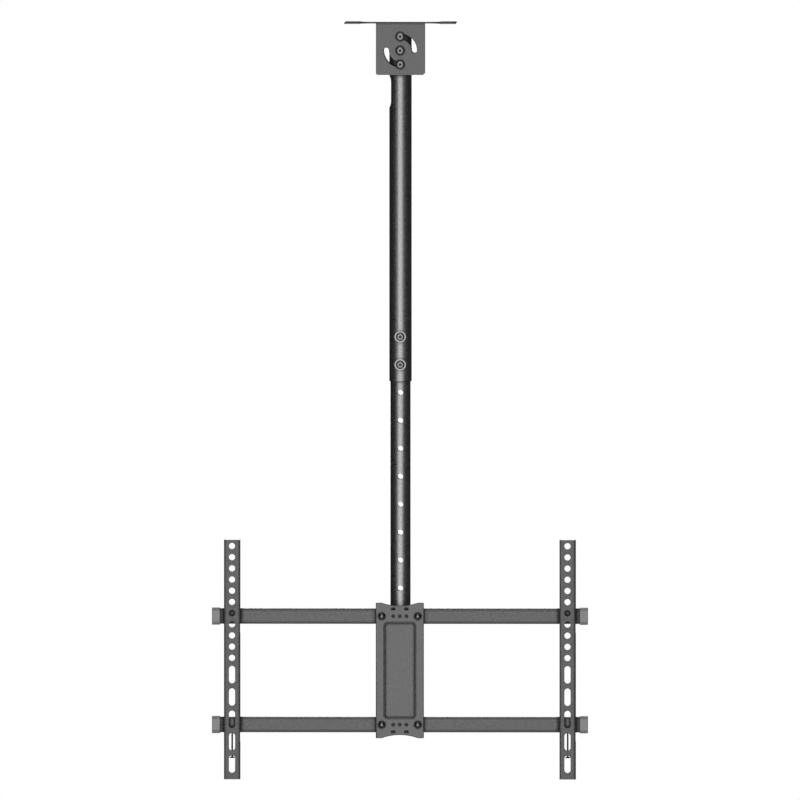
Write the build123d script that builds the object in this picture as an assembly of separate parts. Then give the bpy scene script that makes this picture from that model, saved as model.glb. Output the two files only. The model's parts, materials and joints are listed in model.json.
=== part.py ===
from build123d import *
from math import atan2, cos, degrees, hypot, radians, sin
import os

# Ceiling pole mount for a flat television: a folded ceiling bracket, a telescopic pole,
# a head that swivels and tilts, and a frame of two rails that carries two slotted arms.
# Lengths are millimetres. The origin is the centre of the ceiling plate's top face,
# +Z is up, +X is to the viewer's right and the television hangs on the -Y side.

# Clearances
slide_gap = 0.3
pin_gap = 0.1
bolt_hole_gap = 0.2
cap_gap = 0.05
bolt_slot_gap = 0.9
tilt_slot_gap = 0.5

# Ceiling bracket, one folded sheet
bracket_sheet = 2.0
bracket_bend_radius = 2.0
ceiling_plate_length = 199.0
ceiling_wing_depth = 104.0
ceiling_wing_length = 27.5
wing_flare_run = 19.0
wing_corner_radius = 3.0
neck_setback = 1.4
flange_width = 87.0
flange_height = 94.0
flange_corner_radius = 4.0
anchor_slot_width = 9.0
anchor_slot_length = 22.0
anchor_from_end = 15.5
anchor_from_edge = 18.0

# Slope joint between the bracket and the pole
pivot_drop = 50.2
slope_bolt_radius = 25.0
slope_travel_deg = 90.0

# Outer tube of the pole
outer_tube_diameter = 40.0
outer_tube_wall = 1.7
outer_tube_length = 628.0
tube_end_margin = 11.2
tube_to_flange_gap = 0.4
cable_slot_width = 22.0
cable_slot_length = 58.0
cable_slot_from_end = 110.0

# Inner tube of the pole
inner_tube_wall = 2.0
inner_tube_length = 655.0
inner_tube_overlap = 119.3
height_hole_pitch = 50.0
height_hole_to_exit_slot = 10.0
lock_bolt_from_end = 29.7
exit_slot_width = 20.0
exit_slot_length = 50.0
exit_slot_from_end = 45.0

# Button-head bolts and locking nuts of the pole
bolt_diameter = 8.0
bolt_head_diameter = 15.0
bolt_head_top_diameter = 9.4
bolt_head_height = 4.6
bolt_head_rim = 1.0
bolt_head_bulge = 0.6
bolt_socket_flats = 5.0
bolt_socket_depth = 2.8
bolt_socket_tip = 1.5
bolt_tail = 2.0
nut_flats = 13.0
nut_height = 8.0
nut_chamfer = 0.4
nut_collar_height = 2.4
nut_collar_inset = 0.8
nut_collar_chamfer = 0.7
washer_diameter = 17.0
washer_thickness = 1.6
saddle_diameter = 19.6
saddle_rim = 0.8

# Swivel at the foot of the pole
end_plug_height = 12.0
end_plug_chamfer = 1.0
swivel_bolt_diameter = 12.0
swivel_head_flats = 18.0
swivel_head_height = 7.5
swivel_nut_height = 10.0
swivel_nut_collar_height = 2.8
swivel_disc_diameter = 34.0
swivel_disc_thickness = 2.0
swivel_washer_diameter = 24.0
swivel_washer_thickness = 2.5

# Tilt head
yoke_sheet = 4.0
yoke_width = 56.0
yoke_depth = 36.0
yoke_height = 58.0
yoke_bend_radius = 3.0
tilt_forward_deg = 15.0
tilt_back_deg = 5.0
tilt_slot_play_deg = 1.0
tilt_lock_radius = 30.0
tilt_washer_diameter = 20.0
tilt_washer_thickness = 1.7
tilt_head_height = 3.6
spacer_diameter = 14.0
weld_nut_height = 6.5

# Tilt bracket behind the rails, one folded sheet
tilt_bracket_sheet = 3.0
tilt_bracket_beside_screw = 7.8
tilt_bracket_bend_radius = 3.0
tilt_bracket_margin = 17.5
tilt_ear_radius = 18.0
tilt_ear_relief = 5.0
pole_notch_gap = 4.0

# Rails and their caps
frame_offset = 48.0
rail_spacing = 194.0
rail_height = 28.0
rail_depth = 14.0
rail_corner_radius = 6.0
rail_wall = 1.5
cap_to_arm_gap = 7.45
cap_length = 14.3
cap_wall = 1.6
cap_end = 2.15
cap_edge_radius = 1.0
cap_mouth_chamfer = 0.5

# Centre plate, one pressed sheet
plate_sheet = 2.0
plate_beside_screw = 10.8
plate_margin = 24.3
plate_tab_width = 10.8
plate_arc_rise = 5.7
plate_corner_radius = 1.5
panel_from_side = 13.3
panel_over_rail = 4.75
panel_depth = 2.8
panel_wall_run = 4.4
panel_corner_radius = 8.0
dimple_diameter = 7.0
dimple_depth = 1.2
dimple_foot_inset = 0.3
dimple_foot_flare = 0.6
dimple_pitch = 11.8
edge_slot_length = 9.0
edge_slot_width = 5.6
edge_slot_spacing = 23.6
edge_slot_from_rail = 13.1

# Screws that clamp the plate, the rails and the tilt bracket
frame_screw_spacing = 64.4
frame_screw_diameter = 6.0
frame_screw_head_diameter = 10.2
frame_screw_head_height = 4.0
frame_screw_head_rim = 0.5
frame_screw_tail = 1.5
frame_nut_flats = 10.0
frame_nut_height = 5.0
frame_nut_collar_height = 1.6

# Arms, each one folded sheet
arm_spacing = 600.0
arm_width = 28.8
arm_depth = 26.0
arm_sheet = 2.0
arm_bend_radius = 2.0
arm_top_above_rail = 136.5
arm_to_rail_gap = 5.2
arm_hole_diameter = 11.0
arm_hole_pitch = 20.0
arm_hole_count = 11
arm_slot_count = 5
arm_top_margin = 11.0
arm_foot_margin = 17.3
hook_gap = 0.5
hook_finger = 13.0
hook_drop = 16.0
hook_corner_radius = 5.0
hook_mouth_radius = 2.0
lock_tab_height = 3.0
lock_tab_depth = 16.0
lock_tab_below_rail = 50.5
safety_screw_diameter = 3.0
safety_screw_head_diameter = 9.0
safety_screw_head_height = 3.0
safety_screw_head_rim = 1.0
safety_screw_below_tab = 8.0

# Sizes that follow from the ones above
inner_tube_diameter = outer_tube_diameter - 2 * (outer_tube_wall + slide_gap)
slope_slot_width = bolt_diameter + 2 * bolt_slot_gap
height_hole_diameter = bolt_diameter + 2 * bolt_slot_gap
tilt_slot_width = bolt_diameter + 2 * tilt_slot_gap
tilt_bracket_width = frame_screw_spacing + 2 * tilt_bracket_beside_screw
plate_width = frame_screw_spacing + 2 * plate_beside_screw
panel_width = plate_width - 2 * panel_from_side
panel_height = rail_spacing - rail_height + 2 * panel_over_rail
cap_on_rail = cap_length - cap_end
rail_length = arm_spacing + arm_width + 2 * (cap_to_arm_gap + cap_on_rail)
arm_length = arm_top_margin + (arm_hole_count + 2 * arm_slot_count - 1) * arm_hole_pitch + arm_foot_margin

# Levels and planes that follow from the sizes above
channel_depth = outer_tube_diameter + 2 * (tube_to_flange_gap + bracket_sheet)
pivot_z = -pivot_drop
outer_tube_top = pivot_z + slope_bolt_radius + tube_end_margin
outer_tube_bottom = outer_tube_top - outer_tube_length
lower_lock_z = outer_tube_bottom + lock_bolt_from_end
upper_lock_z = lower_lock_z + height_hole_pitch
inner_tube_top = upper_lock_z + inner_tube_overlap
inner_tube_bottom = inner_tube_top - inner_tube_length
exit_slot_z = inner_tube_bottom + exit_slot_from_end
height_hole_foot = exit_slot_z + exit_slot_length / 2 + height_hole_to_exit_slot
height_hole_count = 1 + int((upper_lock_z - height_hole_foot) // height_hole_pitch)
yoke_top = inner_tube_bottom - swivel_disc_thickness - slide_gap
tilt_z = yoke_top - yoke_height
upper_rail_z = tilt_z + rail_spacing / 2
lower_rail_z = tilt_z - rail_spacing / 2
plate_front = -frame_offset
plate_back = plate_front + plate_sheet
rail_front = plate_back + dimple_depth
rail_back = rail_front + rail_depth
rail_middle = rail_front + rail_depth / 2
bracket_back = rail_back + tilt_bracket_sheet
arm_back_of_web = rail_front - arm_to_rail_gap
arm_front = arm_back_of_web - arm_sheet
arm_top_z = upper_rail_z + arm_top_above_rail
lock_tab_z = lower_rail_z - lock_tab_below_rail


def cylinder_along(direction, radius, start, end):
    """A cylinder that runs from one point to another along a main direction."""
    plane = Plane(origin=start, z_dir=direction)
    length = (Vector(*end) - Vector(*start)).length
    return extrude(plane * Circle(radius), amount=length)


def ring_along(direction, outer, inner, start, thickness):
    """A flat ring that starts at a point and grows along a main direction."""
    plane = Plane(origin=start, z_dir=direction)
    return extrude(plane * (Circle(outer) - Circle(inner)), amount=thickness)


def hexagon_along(direction, flats, start, height):
    """A hexagonal block whose outer end is turned to a 45 degree chamfer."""
    plane = Plane(origin=start, z_dir=direction)
    body = extrude(plane * RegularPolygon(flats / 2, 6, major_radius=False), amount=height)
    face_radius = flats / 2 - nut_chamfer
    cone = Cone(face_radius + height, face_radius, height)
    return body & (plane * Pos(0, 0, height / 2) * cone)


def nut_along(direction, flats, bore, start, height):
    """A hexagonal nut with a chamfered outer end."""
    plane = Plane(origin=start, z_dir=direction)
    return hexagon_along(direction, flats, start, height) - extrude(plane * Circle(bore), amount=height)


def locking_nut_along(direction, flats, bore, start, height, collar_height):
    """A hexagonal nut whose outer end is the round collar that holds its locking ring."""
    plane = Plane(origin=start, z_dir=direction)
    hexagon_height = height - collar_height
    collar_radius = flats / 2 - nut_collar_inset
    collar = Cylinder(collar_radius, collar_height, align=(Align.CENTER, Align.CENTER, Align.MIN))
    collar = chamfer(collar.edges().group_by(Axis.Z)[-1], nut_collar_chamfer)
    body = hexagon_along(direction, flats, start, hexagon_height)
    body += plane * Pos(0, 0, hexagon_height) * collar
    return body - extrude(plane * Circle(bore), amount=height)


def button_bolt(direction, start, grip, head_height, head_diameter, top_diameter):
    """A button-head bolt with a drilled hexagonal socket.

    start is the point under the head, direction the way the head points, and grip the
    length of the shank.
    """
    plane = Plane(origin=start, z_dir=direction)
    rim_edge = (head_diameter / 2, bolt_head_rim)
    profile = Polyline((0, 0), (head_diameter / 2, 0), rim_edge)
    dome = SagittaArc(rim_edge, (top_diameter / 2, head_height), -bolt_head_bulge)
    close = Polyline((top_diameter / 2, head_height), (0, head_height), (0, 0))
    face = make_face(profile + dome + close)
    head = revolve(Plane.XZ * face, Axis.Z)
    shank = Pos(0, 0, -grip / 2) * Cylinder(bolt_diameter / 2, grip)
    socket = extrude(RegularPolygon(bolt_socket_flats / 2, 6, major_radius=False), amount=-bolt_socket_depth)
    tip = Cone(0, bolt_socket_flats / 2, bolt_socket_tip)
    socket += Pos(0, 0, -bolt_socket_depth - bolt_socket_tip / 2) * tip
    return plane * (head + shank - Pos(0, 0, head_height) * socket)


def ceiling_bracket():
    """The folded ceiling plate with its two flanges and their curved slots."""
    half_channel = channel_depth / 2
    outer_radius = bracket_bend_radius + bracket_sheet
    outside = Rectangle(channel_depth, flange_height, align=(Align.CENTER, Align.MAX))
    outside = fillet(outside.vertices().group_by(Axis.Y)[-1], outer_radius)
    inside = Pos(0, -bracket_sheet) * Rectangle(
        channel_depth - 2 * bracket_sheet, flange_height, align=(Align.CENTER, Align.MAX)
    )
    inside = fillet(inside.vertices().group_by(Axis.Y)[-1], bracket_bend_radius)
    channel = extrude(Plane.YZ * (outside - inside), amount=flange_width / 2, both=True)
    foot_edges = channel.edges().filter_by(Axis.Y).group_by(Axis.Z)[0]
    channel = fillet(foot_edges, flange_corner_radius)

    end_x = ceiling_plate_length / 2
    straight_x = end_x - ceiling_wing_length
    wing_y = ceiling_wing_depth / 2
    neck_y = half_channel - neck_setback
    flare_x = straight_x - wing_flare_run
    corner = wing_corner_radius
    outline = Polyline((0, neck_y), (flare_x, neck_y))
    outline += Spline((flare_x, neck_y), (straight_x, wing_y), tangents=((1, 0), (0, 1)))
    outline += Polyline((straight_x, wing_y), (end_x - corner, wing_y))
    outline += RadiusArc((end_x - corner, wing_y), (end_x, wing_y - corner), corner)
    outline += Polyline((end_x, wing_y - corner), (end_x, 0), (0, 0), (0, neck_y))
    quarter = extrude(make_face(outline), amount=-bracket_sheet)
    half = quarter + mirror(quarter, Plane.XZ)
    wings = half + mirror(half, Plane.YZ)
    wings -= Box(flange_width, ceiling_wing_depth, 3 * bracket_sheet)

    body = wings + channel
    anchor_x = end_x - anchor_from_end
    anchor_y = wing_y - anchor_from_edge
    slot = SlotOverall(anchor_slot_length, anchor_slot_width)
    cutters = Sketch()
    for side_x in (-1, 1):
        for side_y in (-1, 1):
            cutters += Pos(side_x * anchor_x, side_y * anchor_y) * slot
        cutters += Pos(side_x * anchor_x, 0) * Circle(anchor_slot_width / 2)
    body -= extrude(cutters, amount=2 * bracket_sheet, both=True)

    body -= cylinder_along(
        (0, 1, 0),
        bolt_diameter / 2 + bolt_hole_gap,
        (0, -channel_depth, pivot_z),
        (0, channel_depth, pivot_z),
    )
    for start_deg in (90, 270):
        arc = CenterArc((0, 0), slope_bolt_radius, start_deg, -slope_travel_deg)
        shape = SlotArc(arc, slope_slot_width)
        plane = Plane(origin=(0, 0, pivot_z), x_dir=(1, 0, 0), z_dir=(0, -1, 0))
        body -= extrude(plane * shape, amount=channel_depth, both=True)
    return body


def pole_bolt(z, under_head, end_y):
    """A button-head bolt through the pole at a height, with its head at the front."""
    bolt = button_bolt(
        (0, -1, 0),
        (0, under_head, z),
        end_y - under_head,
        bolt_head_height,
        bolt_head_diameter,
        bolt_head_top_diameter,
    )
    return bolt


def pole_washer(z, y):
    """A flat washer behind the pole at a height."""
    return ring_along(
        (0, 1, 0), washer_diameter / 2, bolt_diameter / 2 + bolt_hole_gap, (0, y, z), washer_thickness
    )


def pole_nut(z, y):
    """A locking nut behind the pole at a height."""
    return locking_nut_along(
        (0, 1, 0), nut_flats, bolt_diameter / 2, (0, y, z), nut_height, nut_collar_height
    )


def slope_fasteners(z, gap):
    """The bolt, washer and nut that cross the bracket and the pole at a height."""
    face = channel_depth / 2 + gap
    nut_y = face + washer_thickness
    bolt = pole_bolt(z, -face, nut_y + nut_height + bolt_tail)
    return bolt, pole_washer(z, face), pole_nut(z, nut_y)


def outer_tube():
    """The upper tube with its cross holes and the cable slot on its left side."""
    radius = outer_tube_diameter / 2
    middle = (outer_tube_top + outer_tube_bottom) / 2
    tube = Cylinder(radius, outer_tube_length) - Cylinder(radius - outer_tube_wall, outer_tube_length)
    tube = Pos(0, 0, middle) * tube
    slope_zs = (pivot_z + slope_bolt_radius, pivot_z, pivot_z - slope_bolt_radius)
    for z in (*slope_zs, upper_lock_z, lower_lock_z):
        gap = pin_gap if z == pivot_z else bolt_hole_gap
        tube -= cylinder_along((0, 1, 0), bolt_diameter / 2 + gap, (0, -radius, z), (0, radius, z))
    slot_z = outer_tube_top - cable_slot_from_end
    slot_plane = Plane(origin=(0, 0, slot_z), x_dir=(0, 0, 1), z_dir=(-1, 0, 0))
    slot = SlotOverall(cable_slot_length, cable_slot_width)
    tube -= extrude(slot_plane * slot, amount=outer_tube_diameter)
    return tube


def saddle(z, side):
    """A round washer whose inner face is hollowed to sit on the tube."""
    radius = outer_tube_diameter / 2
    outer_y = side * (radius + saddle_rim)
    ring = ring_along(
        (0, -side, 0), saddle_diameter / 2, bolt_diameter / 2 + bolt_hole_gap, (0, outer_y, z), radius / 2
    )
    return ring - Pos(0, 0, z) * Cylinder(radius, 2 * saddle_diameter)


def height_fasteners(z):
    """The bolt, two saddles and nut that lock the two tubes at a height."""
    seat = outer_tube_diameter / 2 + saddle_rim
    bolt = pole_bolt(z, -seat, seat + nut_height + bolt_tail)
    return bolt, saddle(z, -1), saddle(z, 1), pole_nut(z, seat)


def inner_tube():
    """The lower tube with its row of height holes and the cable exit at the back."""
    radius = inner_tube_diameter / 2
    middle = (inner_tube_top + inner_tube_bottom) / 2
    tube = Cylinder(radius, inner_tube_length) - Cylinder(radius - inner_tube_wall, inner_tube_length)
    tube = Pos(0, 0, middle) * tube
    for index in range(height_hole_count):
        z = upper_lock_z - index * height_hole_pitch
        tube -= cylinder_along((0, 1, 0), height_hole_diameter / 2, (0, -radius, z), (0, radius, z))
    slot_plane = Plane(origin=(0, 0, exit_slot_z), x_dir=(0, 0, 1), z_dir=(0, 1, 0))
    slot = SlotOverall(exit_slot_length, exit_slot_width)
    tube -= extrude(slot_plane * slot, amount=inner_tube_diameter)
    return tube


def swivel_pieces():
    """The plug, disc, bolt, washer and nut on the swivel's upright axis."""
    bore = swivel_bolt_diameter / 2
    plug = ring_along(
        (0, 0, 1),
        inner_tube_diameter / 2 - inner_tube_wall,
        bore + bolt_hole_gap,
        (0, 0, inner_tube_bottom),
        end_plug_height,
    )
    top_edges = plug.edges().filter_by(GeomType.CIRCLE).group_by(Axis.Z)[-1]
    plug = chamfer(top_edges.sort_by(SortBy.RADIUS)[-1], end_plug_chamfer)
    disc = ring_along(
        (0, 0, -1),
        swivel_disc_diameter / 2,
        bore + bolt_hole_gap,
        (0, 0, inner_tube_bottom),
        swivel_disc_thickness,
    )
    washer_top = yoke_top - yoke_sheet - slide_gap
    washer = ring_along(
        (0, 0, -1),
        swivel_washer_diameter / 2,
        bore + bolt_hole_gap,
        (0, 0, washer_top),
        swivel_washer_thickness,
    )
    nut_z = inner_tube_bottom + end_plug_height
    nut = locking_nut_along(
        (0, 0, 1), swivel_head_flats, bore, (0, 0, nut_z), swivel_nut_height, swivel_nut_collar_height
    )
    head_z = washer_top - swivel_washer_thickness
    head = hexagon_along((0, 0, -1), swivel_head_flats, (0, 0, head_z), swivel_head_height)
    shank_end = nut_z + swivel_nut_height + bolt_tail
    bolt = head + cylinder_along((0, 0, 1), bore, (0, 0, head_z), (0, 0, shank_end))
    return plug, disc, bolt, washer, nut


def tilt_yoke():
    """The folded fork under the pole that carries the tilt axis between its ears."""
    half = yoke_width / 2
    outer_radius = yoke_bend_radius + yoke_sheet
    drop = yoke_height + yoke_depth / 2
    outside = Rectangle(yoke_width, drop, align=(Align.CENTER, Align.MAX))
    outside = fillet(outside.vertices().group_by(Axis.Y)[-1], outer_radius)
    inside = Pos(0, -yoke_sheet) * Rectangle(
        yoke_width - 2 * yoke_sheet, drop, align=(Align.CENTER, Align.MAX)
    )
    inside = fillet(inside.vertices().group_by(Axis.Y)[-1], yoke_bend_radius)
    fork = extrude(Plane.XZ * Pos(0, yoke_top) * (outside - inside), amount=yoke_depth / 2, both=True)
    side = Pos(0, tilt_z) * Circle(yoke_depth / 2)
    side += Pos(0, tilt_z) * Rectangle(yoke_depth, yoke_height, align=(Align.CENTER, Align.MIN))
    fork = fork & extrude(Plane.YZ * side, amount=half, both=True)
    fork -= cylinder_along(
        (0, 0, 1), swivel_bolt_diameter / 2 + pin_gap, (0, 0, yoke_top - 2 * yoke_sheet), (0, 0, yoke_top)
    )
    fork -= cylinder_along((1, 0, 0), bolt_diameter / 2 + pin_gap, (-half, 0, tilt_z), (half, 0, tilt_z))
    lock_z = tilt_z + tilt_lock_radius
    lock_hole_radius = bolt_diameter / 2 + bolt_hole_gap
    fork -= cylinder_along((1, 0, 0), lock_hole_radius, (-half, 0, lock_z), (half, 0, lock_z))
    return fork


def tilt_lock_bolt(side):
    """A short button-head bolt that passes an ear's slot into the fork."""
    seat = yoke_width / 2 + slide_gap + tilt_washer_thickness + tilt_bracket_sheet + slide_gap
    inner_end = yoke_width / 2 - yoke_sheet - weld_nut_height - bolt_tail
    return button_bolt(
        (side, 0, 0),
        (side * seat, 0, tilt_z + tilt_lock_radius),
        seat - inner_end,
        tilt_head_height,
        bolt_head_diameter,
        bolt_head_top_diameter,
    )


def tilt_weld_nut(side):
    """The nut welded inside one ear of the fork for its lock bolt."""
    inner_face = yoke_width / 2 - yoke_sheet
    start = (side * inner_face, 0, tilt_z + tilt_lock_radius)
    return nut_along((-side, 0, 0), nut_flats, bolt_diameter / 2, start, weld_nut_height)


def tilt_spacer():
    """The tube that keeps the fork's ears apart round the tilt bolt."""
    half = yoke_width / 2 - yoke_sheet
    return ring_along(
        (1, 0, 0), spacer_diameter / 2, bolt_diameter / 2 + bolt_hole_gap, (-half, 0, tilt_z), 2 * half
    )


def tilt_pivot_pieces():
    """The bolt, two washers and nut on the level tilt axis."""
    washer_x = yoke_width / 2 + slide_gap
    ear_x = washer_x + tilt_washer_thickness + tilt_bracket_sheet
    bolt = button_bolt(
        (-1, 0, 0),
        (-ear_x, 0, tilt_z),
        2 * ear_x + weld_nut_height + bolt_tail / 2,
        tilt_head_height,
        bolt_head_diameter,
        bolt_head_top_diameter,
    )
    nut = locking_nut_along(
        (1, 0, 0), nut_flats, bolt_diameter / 2, (ear_x, 0, tilt_z), weld_nut_height, nut_collar_height
    )
    washers = [
        ring_along(
            (side, 0, 0),
            tilt_washer_diameter / 2,
            bolt_diameter / 2 + bolt_hole_gap,
            (side * washer_x, 0, tilt_z),
            tilt_washer_thickness,
        )
        for side in (-1, 1)
    ]
    return bolt, nut, washers


def tilt_bracket():
    """The folded bracket behind the rails whose two ears turn on the tilt axis."""
    ear_inner = yoke_width / 2 + slide_gap + tilt_washer_thickness
    ear_outer = ear_inner + tilt_bracket_sheet
    lock_centre_deg = 90 - (tilt_forward_deg - tilt_back_deg) / 2
    lock_y = tilt_lock_radius * cos(radians(lock_centre_deg))
    lock_z = tilt_lock_radius * sin(radians(lock_centre_deg))
    ear_top = lock_z + tilt_ear_radius
    reach = tilt_lock_radius + tilt_ear_radius + tilt_bracket_sheet

    depth = reach - rail_back
    outside = Pos(0, rail_back) * Rectangle(2 * ear_outer, depth, align=(Align.CENTER, Align.MIN))
    bends = outside.vertices().group_by(Axis.Y)[0]
    outside = fillet(bends, tilt_bracket_bend_radius + tilt_bracket_sheet)
    inside = Pos(0, bracket_back) * Rectangle(2 * ear_inner, depth, align=(Align.CENTER, Align.MIN))
    inside = fillet(inside.vertices().group_by(Axis.Y)[0], tilt_bracket_bend_radius)
    channel = extrude(outside - inside, amount=2 * ear_top, both=True)

    ear_side = Circle(tilt_ear_radius) + Pos(lock_y, lock_z) * Circle(tilt_ear_radius)
    root = Pos(rail_back, (ear_top - tilt_ear_radius) / 2) * Rectangle(
        2 * tilt_bracket_sheet, ear_top + tilt_ear_radius, align=(Align.MIN, Align.CENTER)
    )
    ear_side = make_hull((ear_side + root).edges())
    channel = channel & extrude(Plane.YZ * ear_side, amount=ear_outer, both=True)

    web_height = rail_spacing + 2 * tilt_bracket_margin
    web = RectangleRounded(tilt_bracket_width, web_height, rail_corner_radius)
    ear_centre = (ear_top - tilt_ear_radius) / 2
    ear_span = ear_top + tilt_ear_radius + 2 * tilt_ear_relief
    web -= Pos(0, ear_centre) * Rectangle(tilt_bracket_width, ear_span)
    web += Pos(0, ear_centre) * Rectangle(2 * (ear_inner - tilt_bracket_bend_radius), ear_span)
    notch_width = inner_tube_diameter + 2 * pole_notch_gap
    notch_foot = yoke_height
    notch = Pos(0, notch_foot) * Rectangle(notch_width, web_height, align=(Align.CENTER, Align.MIN))
    notch = fillet(notch.vertices().group_by(Axis.Y)[0], rail_corner_radius)
    web -= notch
    for side in (-1, 1):
        for z in (-rail_spacing / 2, rail_spacing / 2):
            hole = Circle(frame_screw_diameter / 2 + bolt_hole_gap)
            web -= Pos(side * frame_screw_spacing / 2, z) * hole
    front_plane = Plane(origin=(0, rail_back, 0), x_dir=(1, 0, 0), z_dir=(0, -1, 0))
    plate = extrude(front_plane * web, amount=-tilt_bracket_sheet)

    bracket = plate + channel
    pivot_hole_radius = bolt_diameter / 2 + bolt_hole_gap
    bracket -= cylinder_along((1, 0, 0), pivot_hole_radius, (-ear_outer, 0, 0), (ear_outer, 0, 0))
    first_deg = 90 - tilt_forward_deg - tilt_slot_play_deg
    sweep_deg = tilt_forward_deg + tilt_back_deg + 2 * tilt_slot_play_deg
    arc = CenterArc((0, 0), tilt_lock_radius, first_deg, sweep_deg)
    bracket -= extrude(Plane.YZ * SlotArc(arc, tilt_slot_width), amount=ear_outer, both=True)
    return Pos(0, 0, tilt_z) * bracket


def rail(z):
    """A rounded rectangular tube across the frame, with two holes for its screws."""
    outline = RectangleRounded(rail_depth, rail_height, rail_corner_radius)
    hollow = RectangleRounded(
        rail_depth - 2 * rail_wall, rail_height - 2 * rail_wall, rail_corner_radius - rail_wall
    )
    tube = extrude(Plane.YZ * (outline - hollow), amount=rail_length / 2, both=True)
    tube = Pos(0, rail_middle, z) * tube
    for side in (-1, 1):
        x = side * frame_screw_spacing / 2
        tube -= cylinder_along(
            (0, 1, 0), frame_screw_diameter / 2 + bolt_hole_gap, (x, rail_front, z), (x, rail_back, z)
        )
    return tube


def end_cap(side, z):
    """A moulded cap that fits over the end of a rail."""
    grown = 2 * (cap_wall + cap_gap)
    outline = RectangleRounded(
        rail_depth + grown, rail_height + grown, rail_corner_radius + cap_wall + cap_gap
    )
    socket = RectangleRounded(
        rail_depth + 2 * cap_gap, rail_height + 2 * cap_gap, rail_corner_radius + cap_gap
    )
    body = extrude(Plane.YZ * outline, amount=cap_length)
    body = fillet(body.edges().group_by(Axis.X)[-1], cap_edge_radius)
    body = chamfer(body.edges().group_by(Axis.X)[0], cap_mouth_chamfer)
    body -= extrude(Plane.YZ * socket, amount=cap_on_rail)
    start = rail_length / 2 - cap_on_rail
    placed = Pos(start, rail_middle, z) * body
    return placed if side > 0 else mirror(placed, Plane.YZ)


def centre_plate():
    """The pressed plate in front of the rails, with its sunk panel and dimples."""
    half_width = plate_width / 2
    half_height = rail_spacing / 2 + plate_margin
    arc_x = half_width - plate_tab_width
    edge = Polyline((-half_width, 0), (-half_width, half_height), (-arc_x, half_height))
    edge += ThreePointArc((-arc_x, half_height), (0, half_height - plate_arc_rise), (arc_x, half_height))
    edge += Polyline((arc_x, half_height), (half_width, half_height), (half_width, 0), (-half_width, 0))
    upper = make_face(edge)
    face = upper + mirror(upper, Plane.XZ)
    for side in (-1, 1):
        for level in (-1, 1):
            screw = Pos(side * frame_screw_spacing / 2, level * rail_spacing / 2)
            face -= screw * Circle(frame_screw_diameter / 2 + bolt_hole_gap)
            slot_z = level * (rail_spacing / 2 + edge_slot_from_rail)
            slot = SlotOverall(edge_slot_length, edge_slot_width)
            face -= Pos(side * edge_slot_spacing / 2, slot_z) * slot
    plate = extrude(face, amount=-plate_sheet)
    sides = plate.edges().filter_by(Axis.Z).group_by(Axis.X)
    plate = fillet(sides[0] + sides[-1], plate_corner_radius)

    wall_deg = degrees(atan2(panel_wall_run, panel_depth))
    spread = plate_sheet * panel_depth / (panel_wall_run + hypot(panel_wall_run, panel_depth))
    swell = RectangleRounded(
        panel_width + 2 * spread, panel_height + 2 * spread, panel_corner_radius + spread
    )
    plate += Pos(0, 0, -plate_sheet) * extrude(swell, amount=-panel_depth, taper=wall_deg)
    hollow = RectangleRounded(panel_width, panel_height, panel_corner_radius)
    plate -= extrude(hollow, amount=-panel_depth, taper=wall_deg)
    for level in (-1, 1):
        for index in (-1, 0, 1):
            place = Pos(index * dimple_pitch, level * rail_spacing / 2)
            mouth = dimple_diameter / 2
            bump = Cone(mouth + dimple_foot_flare, mouth - dimple_foot_inset, dimple_depth)
            bump = Rot(180, 0, 0) * bump
            plate += place * Pos(0, 0, -plate_sheet - dimple_depth / 2) * bump
            dish_radius = (mouth**2 + dimple_depth**2) / (2 * dimple_depth)
            plate -= place * Pos(0, 0, dish_radius - dimple_depth) * Sphere(dish_radius)
    front = Plane(origin=(0, plate_front, tilt_z), x_dir=(1, 0, 0), z_dir=(0, -1, 0))
    return front * plate


def frame_screw(x, z):
    """A round-head screw through the plate, a rail and the tilt bracket."""
    plane = Plane(origin=(x, plate_front, z), z_dir=(0, -1, 0))
    radius = frame_screw_head_diameter / 2
    dome_height = frame_screw_head_height - frame_screw_head_rim
    dome_radius = (radius**2 + dome_height**2) / (2 * dome_height)
    ball = Pos(0, 0, frame_screw_head_height - dome_radius) * Sphere(dome_radius)
    head = extrude(Circle(radius), amount=frame_screw_head_height) & ball
    grip = bracket_back + frame_nut_height + frame_screw_tail - plate_front
    shank = Pos(0, 0, -grip / 2) * Cylinder(frame_screw_diameter / 2, grip)
    return plane * (head + shank)


def frame_nut(x, z):
    """The nut of a frame screw, behind the tilt bracket."""
    bore = frame_screw_diameter / 2
    return locking_nut_along(
        (0, 1, 0), frame_nut_flats, bore, (x, bracket_back, z), frame_nut_height, frame_nut_collar_height
    )


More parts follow.
